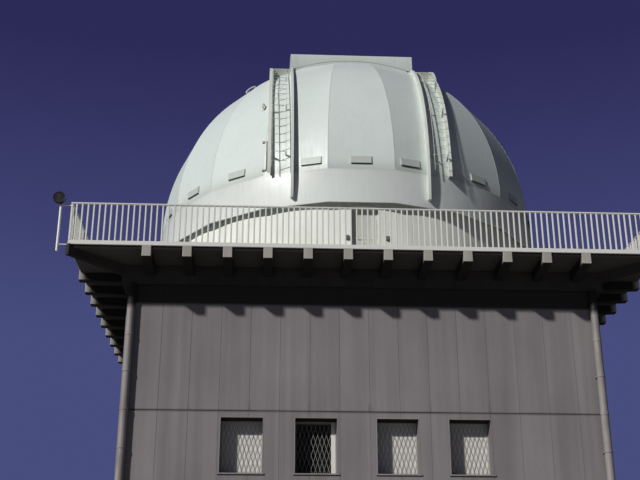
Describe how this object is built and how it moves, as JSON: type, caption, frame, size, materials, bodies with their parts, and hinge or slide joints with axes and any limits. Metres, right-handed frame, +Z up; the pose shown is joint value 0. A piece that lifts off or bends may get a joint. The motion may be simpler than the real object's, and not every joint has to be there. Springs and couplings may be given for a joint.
{
  "type": "observatory dome on a square tower",
  "caption": "Square concrete observatory tower with a cantilevered railed gallery, a round drum and a turning steel dome with an up-and-over shutter.",
  "frame": {"origin": "centre of the tower's ground floor slab, on its underside at ground level", "axes": "+Z up; the pictured front faces -Y; +X is to the right seen from the front"},
  "size_m": [15.416, 14.972, 20.565],
  "materials": {
    "tower_concrete": "board-marked precast concrete panels, weathered grey with a mauve tint",
    "slab_concrete": "cast concrete floor and gallery slab",
    "drum_render": "painted render, off-white",
    "dome_enamel": "white enamel on sheet steel, slightly green-grey with weather",
    "rail_enamel": "white enamel on steel section",
    "railing_enamel": "white enamel on steel bar",
    "drum_door_enamel": "white enamelled steel door",
    "entrance_enamel": "grey enamelled steel door",
    "downpipe_enamel": "faded beige paint on a round pipe",
    "lamp_housing": "black painted cast housing",
    "window_glass": "dark window glass"
  },
  "bodies": {
    "tower": {"front_wall": "tower_concrete", "front_glass_1": "window_glass", "front_glass_2": "window_glass", "front_brackets": "tower_concrete", "front_railing": "railing_enamel", "right_wall": "tower_concrete", "right_glass_1": "window_glass", "right_glass_2": "window_glass", "right_brackets": "tower_concrete", "right_railing": "railing_enamel", "back_wall": "tower_concrete", "back_glass_1": "window_glass", "back_glass_2": "window_glass", "back_brackets": "tower_concrete", "back_railing": "railing_enamel", "left_wall": "tower_concrete", "left_glass_1": "window_glass", "left_glass_2": "window_glass", "left_brackets": "tower_concrete", "left_railing": "railing_enamel", "ground_floor": "slab_concrete", "upper_floor": "slab_concrete", "gallery_deck": "slab_concrete", "entrance_door": "entrance_enamel", "drum_wall_front": "drum_render", "drum_wall_right": "drum_render", "drum_wall_back": "drum_render", "drum_wall_left": "drum_render", "gallery_door": "drum_door_enamel", "downpipe_front_left": "downpipe_enamel", "downpipe_front_right": "downpipe_enamel", "downpipe_back_left": "downpipe_enamel", "downpipe_back_right": "downpipe_enamel", "floodlight_pole": "railing_enamel", "floodlight": "lamp_housing"},
    "dome": {"dome_skirt": "dome_enamel", "dome_shell_right": "dome_enamel", "dome_shell_left": "dome_enamel", "dome_shell_front": "dome_enamel", "dome_shell_back": "dome_enamel", "shutter_rail_left": "rail_enamel", "outer_rail_left": "rail_enamel", "ladder_left": "rail_enamel", "shutter_rail_right": "rail_enamel", "outer_rail_right": "rail_enamel", "ladder_right": "rail_enamel"},
    "shutter": {"shutter": "dome_enamel"}
  },
  "joints": [
    {"name": "dome_turn", "type": "hinge", "parent": "tower", "child": "dome", "pos_m": [0, 0, 14.4], "axis": [0, 0, 1], "continuous": true},
    {"name": "shutter_travel", "type": "hinge", "parent": "dome", "child": "shutter", "pos_m": [0, 0, 14.4], "axis": [1, 0, 0], "range_deg": [0, 66]}
  ]
}
